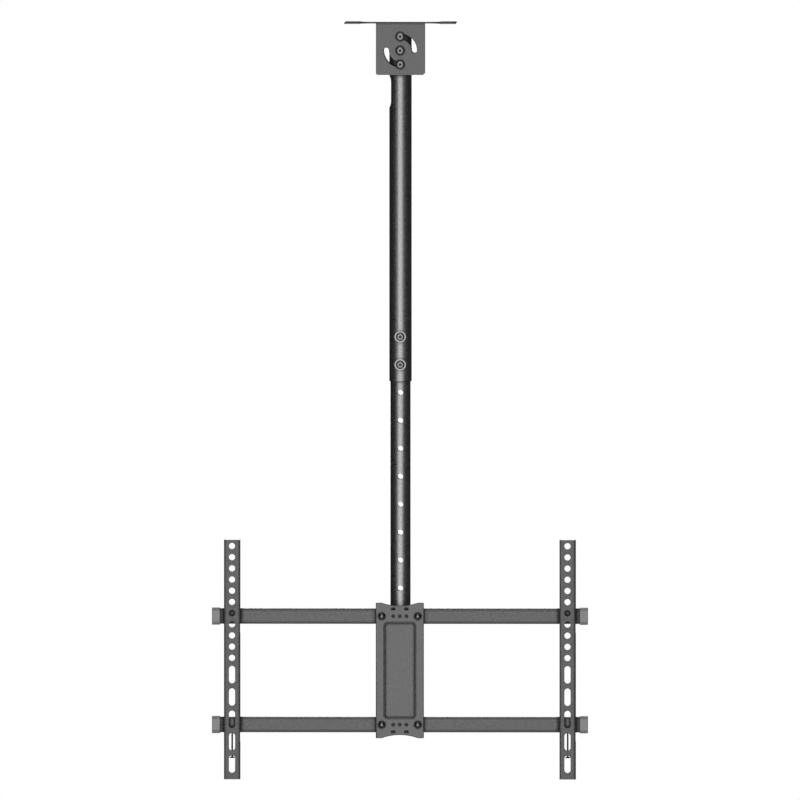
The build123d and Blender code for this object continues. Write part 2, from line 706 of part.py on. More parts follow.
def arm(side):
    """A slotted channel whose flanges are notched to hang on both rails."""
    outline = Rectangle(arm_width, arm_depth, align=(Align.CENTER, Align.MIN))
    outline = fillet(outline.vertices().group_by(Axis.Y)[0], arm_bend_radius + arm_sheet)
    hollow_width = arm_width - 2 * arm_sheet
    hollow = Pos(0, arm_sheet) * Rectangle(hollow_width, arm_depth, align=(Align.CENTER, Align.MIN))
    hollow = fillet(hollow.vertices().group_by(Axis.Y)[0], arm_bend_radius)
    channel = extrude(outline - hollow, amount=-arm_length)
    channel = Pos(0, arm_front, arm_top_z) * channel

    for rail_z in (upper_rail_z, lower_rail_z):
        seat_depth = rail_depth + 2 * hook_gap
        seat_top = rail_z + rail_height / 2 + slide_gap
        seat_foot = rail_z - rail_height / 2 - hook_drop
        seat = Pos(rail_front - hook_gap, seat_top) * Rectangle(
            seat_depth, seat_top - seat_foot, align=(Align.MIN, Align.MAX)
        )
        seat = fillet(seat.vertices(), hook_corner_radius)
        way_out = Pos(rail_front, seat_top - hook_finger) * Rectangle(
            rail_depth + arm_depth, seat_top - hook_finger - seat_foot, align=(Align.MIN, Align.MAX)
        )
        way_out = fillet(way_out.vertices(), hook_mouth_radius)
        channel -= extrude(Plane.YZ * (seat + way_out), amount=arm_width, both=True)

    first_z = arm_top_z - arm_top_margin
    front = Plane(origin=(0, arm_front, first_z), x_dir=(1, 0, 0), z_dir=(0, -1, 0))
    holes = Sketch()
    for index in range(arm_hole_count):
        holes += Pos(0, -index * arm_hole_pitch) * Circle(arm_hole_diameter / 2)
    for index in range(arm_slot_count):
        centre = -(arm_hole_count + 0.5 + 2 * index) * arm_hole_pitch
        holes += Pos(0, centre) * SlotCenterToCenter(arm_hole_pitch, arm_hole_diameter, rotation=90)
    channel -= extrude(front * holes, amount=-2 * arm_sheet)
    return Pos(side * arm_spacing / 2, 0, 0) * channel


def lock_tab(side):
    """The lug welded between an arm's flanges that holds its safety screw."""
    width = arm_width - 2 * arm_sheet
    tab = Box(width, lock_tab_depth, lock_tab_height)
    tab -= Cylinder(safety_screw_diameter / 2, lock_tab_height)
    return Pos(side * arm_spacing / 2, rail_middle, lock_tab_z) * tab


def safety_screw(side):
    """The long screw that stops an arm from lifting off the lower rail."""
    head_foot = lock_tab_z - lock_tab_height / 2 - safety_screw_below_tab
    top = lower_rail_z - rail_height / 2 - slide_gap
    radius = safety_screw_diameter / 2
    head_radius = safety_screw_head_diameter / 2
    neck = head_foot + safety_screw_head_height
    rim = head_foot + safety_screw_head_rim
    profile = Polyline(
        (0, head_foot),
        (head_radius, head_foot),
        (head_radius, rim),
        (radius, neck),
        (radius, top),
        (0, top),
        (0, head_foot),
    )
    screw = revolve(Plane.XZ * make_face(profile), Axis.Z)
    return Pos(side * arm_spacing / 2, rail_middle, 0) * screw


def group(solids):
    """Separate solids kept together as one node."""
    return Compound(children=[Solid(s.solid().wrapped) for s in solids])


def build_nodes():
    """Every node of the mount, by name."""
    nodes = {"ceiling_bracket": ceiling_bracket()}
    pivot_bolt, pivot_washer, pivot_nut = slope_fasteners(pivot_z, 0)
    nodes["slope_pivot_bolt"] = pivot_bolt
    nodes["slope_pivot_washer"] = pivot_washer
    nodes["slope_pivot_nut"] = pivot_nut

    nodes["outer_tube"] = outer_tube()
    slope_sets = [
        slope_fasteners(z, slide_gap) for z in (pivot_z + slope_bolt_radius, pivot_z - slope_bolt_radius)
    ]
    for name, pieces in zip(("bolts", "washers", "nuts"), zip(*slope_sets)):
        nodes[f"slope_lock_{name}"] = group(pieces)
    height_sets = [height_fasteners(z) for z in (upper_lock_z, lower_lock_z)]
    bolts, front_saddles, rear_saddles, nuts = zip(*height_sets)
    nodes["height_lock_bolts"] = group(bolts)
    nodes["height_lock_saddles"] = group(front_saddles + rear_saddles)
    nodes["height_lock_nuts"] = group(nuts)

    nodes["inner_tube"] = inner_tube()
    swivel_names = ("pole_end_plug", "swivel_disc", "swivel_bolt", "swivel_washer", "swivel_nut")
    nodes.update(zip(swivel_names, swivel_pieces()))

    nodes["tilt_yoke"] = tilt_yoke()
    nodes["tilt_spacer"] = tilt_spacer()
    nodes["tilt_lock_bolts"] = group([tilt_lock_bolt(side) for side in (-1, 1)])
    nodes["tilt_lock_nuts"] = group([tilt_weld_nut(side) for side in (-1, 1)])
    tilt_bolt, tilt_nut, tilt_washers = tilt_pivot_pieces()
    nodes["tilt_pivot_bolt"] = tilt_bolt
    nodes["tilt_pivot_nut"] = tilt_nut
    nodes["tilt_washers"] = group(tilt_washers)

    nodes["tilt_bracket"] = tilt_bracket()
    nodes["centre_plate"] = centre_plate()
    places = [
        (side * frame_screw_spacing / 2, z) for side in (-1, 1) for z in (upper_rail_z, lower_rail_z)
    ]
    nodes["frame_screws"] = group([frame_screw(x, z) for x, z in places])
    nodes["frame_nuts"] = group([frame_nut(x, z) for x, z in places])
    for level, z in (("upper", upper_rail_z), ("lower", lower_rail_z)):
        nodes[f"{level}_rail"] = rail(z)
        for side, hand in ((-1, "left"), (1, "right")):
            nodes[f"{level}_{hand}_cap"] = end_cap(side, z)
    for side, hand in ((-1, "left"), (1, "right")):
        nodes[f"{hand}_arm"] = arm(side)
        nodes[f"{hand}_lock_tab"] = lock_tab(side)
        nodes[f"{hand}_safety_screw"] = safety_screw(side)
    return nodes


os.makedirs("parts", exist_ok=True)
for node_name, shape in build_nodes().items():
    export_step(shape, f"parts/{node_name}.step")
    print(node_name, round(shape.volume, 1))
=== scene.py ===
"""Looks of a ceiling pole mount for a flat television.

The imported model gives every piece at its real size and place. This script gives the pieces
their softened edges, threads and finishes, and sets up the studio and the camera.
Lengths are metres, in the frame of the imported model: +Z up, the television on the -Y side.
"""

from __future__ import annotations

import json
import logging
import math
from collections import Counter
from dataclasses import dataclass
from enum import Enum
from typing import Iterable, Sequence

import bmesh
import bpy
from mathutils import Matrix, Vector

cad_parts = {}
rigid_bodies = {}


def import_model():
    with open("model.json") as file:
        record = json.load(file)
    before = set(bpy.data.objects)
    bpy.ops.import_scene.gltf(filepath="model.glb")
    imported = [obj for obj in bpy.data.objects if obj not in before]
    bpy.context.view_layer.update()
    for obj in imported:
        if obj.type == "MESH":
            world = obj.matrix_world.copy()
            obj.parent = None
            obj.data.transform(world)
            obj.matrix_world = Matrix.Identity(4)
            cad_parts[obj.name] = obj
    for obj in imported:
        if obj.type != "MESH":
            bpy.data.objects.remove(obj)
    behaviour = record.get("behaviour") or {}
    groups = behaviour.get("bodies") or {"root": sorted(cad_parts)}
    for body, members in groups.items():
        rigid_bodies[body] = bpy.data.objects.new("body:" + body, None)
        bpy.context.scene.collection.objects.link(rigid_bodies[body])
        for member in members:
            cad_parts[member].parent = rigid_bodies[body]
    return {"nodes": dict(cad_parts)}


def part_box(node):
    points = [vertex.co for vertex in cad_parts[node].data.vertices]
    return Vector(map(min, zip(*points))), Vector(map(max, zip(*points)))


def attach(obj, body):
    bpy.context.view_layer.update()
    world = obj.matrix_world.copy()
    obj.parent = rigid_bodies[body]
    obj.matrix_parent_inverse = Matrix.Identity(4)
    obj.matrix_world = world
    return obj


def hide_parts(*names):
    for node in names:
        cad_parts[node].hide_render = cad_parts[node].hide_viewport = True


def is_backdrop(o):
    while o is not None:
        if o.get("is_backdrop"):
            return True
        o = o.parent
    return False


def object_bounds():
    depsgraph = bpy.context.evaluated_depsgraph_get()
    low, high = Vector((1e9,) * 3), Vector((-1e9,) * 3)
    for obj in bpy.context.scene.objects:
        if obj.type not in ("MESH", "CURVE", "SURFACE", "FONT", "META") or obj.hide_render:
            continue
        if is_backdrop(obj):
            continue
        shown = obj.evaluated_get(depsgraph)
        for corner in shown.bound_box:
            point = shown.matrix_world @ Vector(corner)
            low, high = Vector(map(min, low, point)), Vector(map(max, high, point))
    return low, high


log = logging.getLogger("pole_mount")

MM = 0.001
MERGE_DISTANCE = 0.002 * MM
FLAT_DEG = 0.3
SHARP_DEG = 32.0
CUT_DEG = 60.0
LEVEL_SLACK = 0.02 * MM
LEVEL_DIGITS = 6
PLAIN_SEGMENTS = 2
ROLLED_SEGMENTS = 3
SHADING_WEIGHT = 80
TAIL_POINT = 0.25 * MM
WHITE = (1.0, 1.0, 1.0, 1.0)
Colour = tuple[float, float, float]
Point = tuple[float, float, float]
RIGHT: Point = (1.0, 0.0, 0.0)
REAR: Point = (0.0, 1.0, 0.0)
UP: Point = (0.0, 0.0, 1.0)


@dataclass(frozen=True)
class ScrewSize:
    """The size of a screw.

    Attributes:
        radius: The shank's radius.
        pitch: The rise of one turn of its thread.
        head_radius: The head's radius.
    """

    radius: float
    pitch: float
    head_radius: float


M8 = ScrewSize(radius=4.0 * MM, pitch=1.25 * MM, head_radius=7.5 * MM)
M6 = ScrewSize(radius=3.0 * MM, pitch=1.0 * MM, head_radius=5.1 * MM)
SAFETY_SCREW = ScrewSize(radius=1.5 * MM, pitch=0.7 * MM, head_radius=4.5 * MM)


# Shader helpers


def socket_named(sockets: Iterable[bpy.types.NodeSocket], name: str) -> bpy.types.NodeSocket:
    """The enabled socket with a name, of which some nodes hold several."""
    return next(s for s in sockets if s.name == name and s.enabled)


class ShaderPad:
    """A node tree together with short ways of adding and joining its nodes."""

    def __init__(self, tree: bpy.types.NodeTree) -> None:
        """Keep the tree of a material, a world or a group, and empty it."""
        self.tree = tree
        tree.nodes.clear()

    def add(self, kind: str, **settings: object) -> bpy.types.Node:
        """Add a node.

        Args:
            kind: The node's type name.
            **settings: Properties of the node to set.

        Returns:
            The new node.
        """
        node = self.tree.nodes.new(kind)
        for name, value in settings.items():
            setattr(node, name, value)
        return node

    def fill(self, node: bpy.types.Node, **values: object) -> bpy.types.Node:
        """Set input sockets, where an underscore in a keyword stands for a space.

        Args:
            node: The node whose sockets are set.
            **values: A number, a colour, or an output socket to join.

        Returns:
            The same node.
        """
        for name, value in values.items():
            target = socket_named(node.inputs, name.replace("_", " "))
            if isinstance(value, bpy.types.NodeSocket):
                self.tree.links.new(value, target)
            else:
                target.default_value = value
        return node

    def join(self, source: bpy.types.NodeSocket, target: bpy.types.NodeSocket) -> None:
        """Link an output to an input."""
        self.tree.links.new(source, target)

    def maths(self, operation: str, first: object, second: object = 0.0) -> bpy.types.NodeSocket:
        """Combine two numbers or sockets.

        Args:
            operation: The name of the Math node's operation.
            first: A number or an output socket.
            second: A number or an output socket.

        Returns:
            The result's socket.
        """
        node = self.add("ShaderNodeMath", operation=operation)
        for index, value in enumerate((first, second)):
            if isinstance(value, bpy.types.NodeSocket):
                self.join(value, node.inputs[index])
            else:
                node.inputs[index].default_value = value
        return node.outputs[0]


def make_group(name: str, inputs: dict[str, str], outputs: dict[str, str]) -> bpy.types.NodeTree:
    """Make an empty shader group with named sockets.

    Args:
        name: The group's name.
        inputs: Each input's socket type.
        outputs: Each output's socket type.

    Returns:
        The group's tree.
    """
    tree = bpy.data.node_groups.new(name, "ShaderNodeTree")
    for direction, sockets in (("INPUT", inputs), ("OUTPUT", outputs)):
        for title, kind in sockets.items():
            tree.interface.new_socket(title, in_out=direction, socket_type=kind)
    return tree


class CoatTexture:
    """The shader group for the surface of powder coat, satin coat and moulded plastic."""

    name = "coat texture"
    settings = (
        "Grain Scale",
        "Grain Tone",
        "Mottle Scale",
        "Mottle Tone",
        "Cloud Scale",
        "Cloud Tone",
        "Roughness",
        "Roughness Spread",
        "Recess Depth",
        "Recess Gain",
        "Recess Shade",
        "Recess Roughness",
    )
    measures = ("Roughness", "Height", "Recess")
    recess_samples = 8

    @classmethod
    def tree(cls) -> bpy.types.NodeTree:
        """The group, built the first time that it is asked for."""
        return bpy.data.node_groups.get(cls.name) or cls.build()

    @classmethod
    def build(cls) -> bpy.types.NodeTree:
        """Build the group.

        It lays fine grain and a coarser mottle, which are the sprayed skin, over slow cloudy
        changes of tone, and paints shade into the recesses, where light would fall short.

        Returns:
            The group, which puts out Colour, Roughness, Height and the Recess mask.
        """
        colour = {"Colour": "NodeSocketColor"}
        settings = dict.fromkeys(cls.settings, "NodeSocketFloat")
        measures = dict.fromkeys(cls.measures, "NodeSocketFloat")
        tree = make_group(
            cls.name,
            {"Vector": "NodeSocketVector", **colour, **settings},
            {**colour, **measures},
        )
        pad = ShaderPad(tree)
        given = pad.add("NodeGroupInput").outputs
        out = pad.add("NodeGroupOutput")

        grain = cls.layer(pad, given, "Grain", detail=3.0, roughness=0.6)
        mottle = cls.layer(pad, given, "Mottle", detail=1.0, roughness=0.5)
        cloud = cls.layer(pad, given, "Cloud", detail=2.0, roughness=0.5)
        tone = pad.maths("ADD", pad.maths("MULTIPLY", grain, given["Grain Tone"]), 1.0)
        tone = pad.maths("ADD", tone, pad.maths("MULTIPLY", mottle, given["Mottle Tone"]))
        tone = pad.maths("ADD", tone, pad.maths("MULTIPLY", cloud, given["Cloud Tone"]))

        # Painted shade: the recess mask darkens the colour deep in recesses and corners.
        recess = cls.recess(pad, given)
        shade = pad.maths("MULTIPLY", recess, given["Recess Shade"])
        tone = pad.maths("MULTIPLY", tone, pad.maths("SUBTRACT", 1.0, shade))
        tint = pad.add("ShaderNodeVectorMath", operation="SCALE")
        pad.join(given["Colour"], tint.inputs[0])
        pad.join(tone, tint.inputs["Scale"])

        skin = pad.maths("ADD", grain, mottle)
        spread = pad.maths("MULTIPLY", skin, given["Roughness Spread"])
        dull = pad.maths("MULTIPLY", recess, given["Recess Roughness"])
        rough = pad.maths("ADD", pad.maths("ADD", given["Roughness"], spread), dull)
        pad.join(tint.outputs[0], out.inputs["Colour"])
        pad.join(rough, out.inputs["Roughness"])
        pad.join(skin, out.inputs["Height"])
        pad.join(recess, out.inputs["Recess"])
        return tree

    @staticmethod
    def layer(
        pad: ShaderPad, given: bpy.types.NodeOutputs, title: str, detail: float, roughness: float
    ) -> bpy.types.NodeSocket:
        """Add one layer of noise.

        Args:
            pad: The group's pad.
            given: The group's inputs.
            title: The layer's name in the inputs.
            detail: How many finer octaves the noise has.
            roughness: How strong these are.

        Returns:
            The noise, from -0.5 to 0.5.
        """
        noise = pad.add("ShaderNodeTexNoise", noise_dimensions="3D")
        scale = given[f"{title} Scale"]
        pad.fill(noise, Vector=given["Vector"], Scale=scale, Detail=detail, Roughness=roughness)
        return pad.maths("SUBTRACT", socket_named(noise.outputs, "Fac"), 0.5)

    @classmethod
    def recess(cls, pad: ShaderPad, given: bpy.types.NodeOutputs) -> bpy.types.NodeSocket:
        """Find where other surfaces stand near and over the coat, for the painted shade in
        recesses.

        Args:
            pad: The group's pad.
            given: The group's inputs.

        Returns:
            A mask that is 0 in the open and 1 deep in a recess.
        """
        open_sky = pad.add("ShaderNodeAmbientOcclusion", samples=cls.recess_samples)
        pad.fill(open_sky, Distance=given["Recess Depth"])
        closed = pad.maths("SUBTRACT", 1.0, open_sky.outputs["AO"])
        return pad.maths("MINIMUM", pad.maths("MULTIPLY", closed, given["Recess Gain"]), 1.0)


@dataclass(frozen=True)
class Coat:
    """A sprayed, plated or moulded surface.

    Attributes:
        title: The material's name.
        slot: The record's slot that the finish belongs to; not used.
        colour: Base colour, linear.
        roughness: Middle roughness.
        specular: The share of a plain coat's mirror reflection.
        grain: Size of the skin's grain.
        grain_tone: How far the grain changes the tone.
        mottle: Size of the coarser mottle.
        mottle_tone: How far the mottle changes the tone.
        spread: How far grain and mottle change the roughness.
        cloud: Size of the slow changes of tone.
        cloud_tone: How far they change the tone.
        bump: Height of the grain.
        metallic: 1 for bare or plated metal.
        coat: Weight of a clear coat.
        coat_roughness: Roughness of the clear coat.
        recess_depth: How near other surfaces have to be for painted shade in a recess.
        recess_gain: How soon a recess counts as deep.
        recess_shade: How much painted shade darkens the coat deep in a recess.
        recess_roughness: How much rougher the coat is there.
        painted_recess_shadow: Whether the painted shade there is black, without mirror
            reflection.
    """

    title: str
    slot: str
    colour: Colour
    roughness: float
    specular: float = 0.5
    grain: float = 0.4 * MM
    grain_tone: float = 0.12
    mottle: float = 2.2 * MM
    mottle_tone: float = 1.2
    spread: float = 0.5
    cloud: float = 60 * MM
    cloud_tone: float = 0.06
    bump: float = 0.02 * MM
    metallic: float = 0.0
    coat: float = 0.0
    coat_roughness: float = 0.2
    recess_depth: float = 8 * MM
    recess_gain: float = 2.4
    recess_shade: float = 0.85
    recess_roughness: float = 0.45
    painted_recess_shadow: bool = False

    def material(self) -> bpy.types.Material:
        """The finish as a material, built once.

        Returns:
            The material with this finish's title.
        """
        found = bpy.data.materials.get(self.title)
        if found:
            return found
        material = bpy.data.materials.new(self.title)
        material.use_nodes = True
        pad = ShaderPad(material.node_tree)
        place = pad.add("ShaderNodeTexCoord")
        skin = pad.add("ShaderNodeGroup", node_tree=CoatTexture.tree())
        pad.fill(
            skin,
            Vector=place.outputs["Object"],
            Colour=(*self.colour, 1.0),
            Grain_Scale=1.0 / self.grain,
            Grain_Tone=self.grain_tone,
            Mottle_Scale=1.0 / self.mottle,
            Mottle_Tone=self.mottle_tone,
            Cloud_Scale=1.0 / self.cloud,
            Cloud_Tone=self.cloud_tone,
            Roughness=self.roughness,
            Roughness_Spread=self.spread,
            Recess_Depth=self.recess_depth,
            Recess_Gain=self.recess_gain,
            Recess_Shade=self.recess_shade,
            Recess_Roughness=self.recess_roughness,
        )
        relief = pad.add("ShaderNodeBump")
        pad.fill(relief, Strength=1.0, Distance=self.bump, Height=skin.outputs["Height"])
        # Painted shade: with painted_recess_shadow, the recess mask makes the coat metallic and
        # black there.
        surface = pad.add("ShaderNodeBsdfPrincipled")
        pad.fill(
            surface,
            Base_Color=skin.outputs["Colour"],
            Roughness=skin.outputs["Roughness"],
            Normal=relief.outputs["Normal"],
            Metallic=skin.outputs["Recess"] if self.painted_recess_shadow else self.metallic,
            Specular_IOR_Level=self.specular,
            Coat_Weight=self.coat,
            Coat_Roughness=self.coat_roughness,
        )
        output = pad.add("ShaderNodeOutputMaterial")
        pad.join(surface.outputs["BSDF"], output.inputs["Surface"])
        material.diffuse_color = (*self.colour, 1.0)
        return material


class Finish(Enum):
    """The mount's finishes."""

    # The recess settings paint shade into recesses; on the plate and tube it is black.
    SHEET = Coat(
        "pressed sheet coat",
        "steel_coat",
        (0.030, 0.030, 0.0305),
        roughness=0.46,
        specular=0.34,
        mottle_tone=0.6,
        spread=0.35,
        bump=0.04 * MM,
        recess_depth=3 * MM,
        recess_gain=3.0,
        recess_shade=0.95,
        recess_roughness=0.52,
    )
    PLATE = Coat(
        "pressed plate coat",
        "steel_coat",
        (0.030, 0.030, 0.0305),
        roughness=0.46,
        specular=0.31,
        mottle_tone=0.8,
        spread=0.4,
        bump=0.04 * MM,
        recess_depth=5 * MM,
        recess_gain=10.0,
        recess_shade=1.0,
        recess_roughness=0.54,
        painted_recess_shadow=True,
    )
    ARM = Coat(
        "arm coat",
        "arm_coat",
        (0.024, 0.024, 0.0244),
        roughness=0.50,
        specular=0.28,
        spread=0.7,
        bump=0.06 * MM,
    )
    RAIL = Coat(
        "rail coat",
        "rail_coat",
        (0.026, 0.026, 0.0264),
        roughness=0.48,
        specular=0.30,
        mottle_tone=0.8,
        recess_gain=3.2,
        recess_shade=0.95,
        recess_roughness=0.52,
    )
    TUBE = Coat(
        "tube coat",
        "tube_coat",
        (0.006, 0.006, 0.0062),
        roughness=0.36,
        specular=1.0,
        mottle_tone=1.0,
        bump=0.03 * MM,
        coat=0.25,
        coat_roughness=0.34,
        painted_recess_shadow=True,
    )
    FASTENER = Coat(
        "black fastener",
        "black_fastener",
        (0.020, 0.020, 0.0203),
        roughness=0.27,
        specular=0.6,
        mottle_tone=0.2,
        spread=0.1,
        bump=0.003 * MM,
        coat=0.1,
        coat_roughness=0.2,
        recess_depth=3 * MM,
    )
    GLOSS_SCREW = Coat(
        "gloss black screw",
        "glossy_screw",
        (0.004, 0.004, 0.0042),
        roughness=0.16,
        specular=0.8,
        spread=0.05,
        bump=0.002 * MM,
    )
    DARK_SCREW = Coat(
        "dark screw",
        "black_fastener",
        (0.004, 0.004, 0.0042),
        roughness=0.4,
        specular=0.25,
        spread=0.05,
        bump=0.002 * MM,
    )
    SADDLE = Coat(
        "saddle steel",
        "black_fastener",
        (0.10, 0.10, 0.101),
        roughness=0.3,
        mottle_tone=0.2,
        spread=0.1,
        bump=0.003 * MM,
        metallic=1.0,
        recess_depth=1 * MM,
    )
    CAP = Coat(
        "cap plastic",
        "cap_plastic",
        (0.070, 0.070, 0.071),
        roughness=0.46,
        specular=0.34,
    )
    BEARING = Coat(
        "bearing plastic",
        "bearing_plastic",
        (0.55, 0.54, 0.51),
        roughness=0.5,
        mottle_tone=0.1,
    )


# Meshes


def merged_copy(node: bpy.types.Object, title: str) -> bpy.types.Object:
    """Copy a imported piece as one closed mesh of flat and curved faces.

    Args:
        node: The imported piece, whose own mesh stays as it is.
        title: The copy's name.

    Returns:
        The copy, at the origin, with its doubled points merged.
    """
    shape = bmesh.new()
    shape.from_mesh(node.data)
    bmesh.ops.remove_doubles(shape, verts=shape.verts, dist=MERGE_DISTANCE)
    bmesh.ops.dissolve_limit(
        shape, angle_limit=math.radians(FLAT_DEG), verts=shape.verts, edges=shape.edges
    )
    mesh = bpy.data.meshes.new(title)
    shape.to_mesh(mesh)
    shape.free()
    if "custom_normal" in mesh.attributes:
        mesh.attributes.remove(mesh.attributes["custom_normal"])
    piece = bpy.data.objects.new(title, mesh)
    bpy.context.scene.collection.objects.link(piece)
    return piece


def flattened(piece: bpy.types.Object) -> bpy.types.Object:
    """Turn a piece's modifiers into its plain mesh.

    Args:
        piece: The piece with live modifiers.

    Returns:
        The same piece with the result as its mesh and no modifier.
    """
    graph = bpy.context.evaluated_depsgraph_get()
    mesh = bpy.data.meshes.new_from_object(piece.evaluated_get(graph))
    old = piece.data
    piece.modifiers.clear()
    piece.data = mesh
    mesh.name = piece.name
    bpy.data.meshes.remove(old)
    return piece


@dataclass(frozen=True)
class Rounding:
    """How a piece's sharp edges are rounded.

    Attributes:
        plain: The width on every sharp edge.
        rolled: The width on closed outlines in the shown faces, as a press rolls them over.
        shown: The levels of the shown faces along the depth.
        longer_than: Shorter outlines, such as small slots, aren't rolled.
    """

    plain: float = 0.0
    rolled: float = 0.0
    shown: tuple[float, ...] = ()
    longer_than: float = 0.0

    def outlines(self, shape: bmesh.types.BMesh) -> list[bmesh.types.BMEdge]:
        """The closed outlines of outer edges and holes in the shown faces.

        Args:
            shape: The piece's mesh.

        Returns:
            Their edges; a chain that runs out into a fold is left out.
        """
        edges = [
            edge
            for edge in shape.edges
            if len(edge.link_faces) == 2
            and math.degrees(edge.calc_face_angle(0.0)) > CUT_DEG
            and any(
                all(abs(vertex.co.y - level) < LEVEL_SLACK for vertex in edge.verts)
                for level in self.shown
            )
        ]
        while True:
            ends = Counter(vertex for edge in edges for vertex in edge.verts)
            closed = [edge for edge in edges if all(ends[vertex] == 2 for vertex in edge.verts)]
            if len(closed) == len(edges):
                break
            edges = closed
        chosen = []
        left = set(edges)
        while left:
            outline = [left.pop()]
            for edge in outline:
                beside = {other for vertex in edge.verts for other in vertex.link_edges} & left
                outline.extend(beside)
                left -= beside
            if sum(edge.calc_length() for edge in outline) > self.longer_than:
                chosen.extend(outline)
        return chosen


def roll_outlines(piece: bpy.types.Object, rounding: Rounding) -> None:
    """Mark a piece's shown outlines and roll them over with a bevel.

    Args:
        piece: The piece, a merged copy.
        rounding: The width and the shown faces.
    """
    shape = bmesh.new()
    shape.from_mesh(piece.data)
    weights = shape.edges.layers.float.new("bevel_weight_edge")
    for edge in rounding.outlines(shape):
        edge[weights] = 1.0
    shape.to_mesh(piece.data)
    shape.free()
    bevel = piece.modifiers.new("rolled edges", "BEVEL")
    bevel.width = rounding.rolled
    bevel.segments = ROLLED_SEGMENTS
    bevel.limit_method = "WEIGHT"
    bevel.use_clamp_overlap = False


def soften(piece: bpy.types.Object, rounding: Rounding) -> bpy.types.Object:
    """Round a piece's sharp edges.

    Args:
        piece: The piece, a merged copy.
        rounding: The widths of the rounding.

    Returns:
        The same piece with rounded edges and even shading.
    """
    for polygon in piece.data.polygons:
        polygon.use_smooth = True
    if rounding.rolled:
        roll_outlines(piece, rounding)
    if rounding.plain:
        bevel = piece.modifiers.new("edges", "BEVEL")
        bevel.width = rounding.plain
        bevel.segments = PLAIN_SEGMENTS
        bevel.limit_method = "ANGLE"
        bevel.angle_limit = math.radians(SHARP_DEG)
        bevel.use_clamp_overlap = True
    even = piece.modifiers.new("even shading", "WEIGHTED_NORMAL")
    even.mode = "FACE_AREA"
    even.weight = SHADING_WEIGHT
    return flattened(piece)


def wear(piece: bpy.types.Object, finish: Finish) -> None:
    """Give a piece its one material."""
    piece.data.materials.clear()
    piece.data.materials.append(finish.value.material())


# Swept shapes that repeat, made by geometry nodes


class PointTree:
    """Geometry nodes that sweep a round section along a curve at every point of a mesh."""

    name = "swept shape"
    sizes: tuple[str, ...] = ("Radius", "Section")
    sides = 10

    @classmethod
    def tree(cls) -> bpy.types.NodeTree:
        """The tree, built the first time that it is asked for."""
        return bpy.data.node_groups.get(cls.name) or cls.build()

    @classmethod
    def path(cls, pad: ShaderPad, given: bpy.types.NodeOutputs) -> bpy.types.NodeSocket:
        """Add the nodes of the curve; each kind of tree has its own."""
        raise NotImplementedError

    @classmethod
    def build(cls) -> bpy.types.NodeTree:
        """Build the tree, which turns its copies as the Rotation input says.

        Returns:
            The geometry node tree.
        """
        tree = bpy.data.node_groups.new(cls.name, "GeometryNodeTree")
        sockets = tree.interface
        sockets.new_socket("Geometry", in_out="INPUT", socket_type="NodeSocketGeometry")
        for title in cls.sizes:
            sockets.new_socket(title, in_out="INPUT", socket_type="NodeSocketFloat")
        sockets.new_socket("Rotation", in_out="INPUT", socket_type="NodeSocketRotation")
        sockets.new_socket("Material", in_out="INPUT", socket_type="NodeSocketMaterial")
        sockets.new_socket("Geometry", in_out="OUTPUT", socket_type="NodeSocketGeometry")
        pad = ShaderPad(tree)
        given = pad.add("NodeGroupInput").outputs
        out = pad.add("NodeGroupOutput")
        path = cls.path(pad, given)
        section = pad.add("GeometryNodeCurvePrimitiveCircle")
        pad.fill(section, Resolution=cls.sides, Radius=given["Section"])
        shape = pad.add("GeometryNodeCurveToMesh")
        pad.fill(shape, Curve=path, Profile_Curve=section.outputs["Curve"], Fill_Caps=True)
        copies = pad.add("GeometryNodeInstanceOnPoints")
        points, turn = given["Geometry"], given["Rotation"]
        pad.fill(copies, Points=points, Instance=shape.outputs["Mesh"], Rotation=turn)
        real = pad.add("GeometryNodeRealizeInstances")
        pad.fill(real, Geometry=copies.outputs["Instances"])
        dressed = pad.add("GeometryNodeSetMaterial")
        pad.fill(dressed, Geometry=real.outputs["Geometry"], Material=given["Material"])
        pad.join(dressed.outputs["Geometry"], out.inputs["Geometry"])
        return tree


class ThreadTree(PointTree):
    """A thread: a helix of a small four-sided section, wound along +Z."""

    name = "threads"
    sizes = ("Radius", "Pitch", "Length", "Section")
    sides = 4
    turn_steps = 20

    @classmethod
    def path(cls, pad: ShaderPad, given: bpy.types.NodeOutputs) -> bpy.types.NodeSocket:
        """Wind the helix.

        Args:
            pad: The tree's pad.
            given: The group's inputs.

        Returns:
            The helix.
        """
        helix = pad.add("GeometryNodeCurveSpiral")
        pad.fill(
            helix,
            Resolution=cls.turn_steps,
            Rotations=pad.maths("DIVIDE", given["Length"], given["Pitch"]),
            Start_Radius=given["Radius"],
            End_Radius=given["Radius"],
            Height=given["Length"],
        )
        return helix.outputs["Curve"]


class RingTree(PointTree):
    """A round ring that lies across +Z."""

    name = "rings"
    steps = 40

    @classmethod
    def path(cls, pad: ShaderPad, given: bpy.types.NodeOutputs) -> bpy.types.NodeSocket:
        """Draw the ring's circle.

        Args:
            pad: The tree's pad.
            given: The group's inputs.

        Returns:
            The circle.
        """
        circle = pad.add("GeometryNodeCurvePrimitiveCircle")
        pad.fill(circle, Resolution=cls.steps, Radius=given["Radius"])
        return circle.outputs["Curve"]


def set_tree_inputs(modifier: bpy.types.NodesModifier, values: dict[str, object]) -> None:
    """Set a geometry nodes modifier's inputs by their sockets' identifiers.

    Args:
        modifier: The modifier.
        values: Each input's value by its name.
    """
    for item in modifier.node_group.interface.items_tree:
        if getattr(item, "in_out", "") == "INPUT" and item.name in values:
            modifier[item.identifier] = values[item.name]


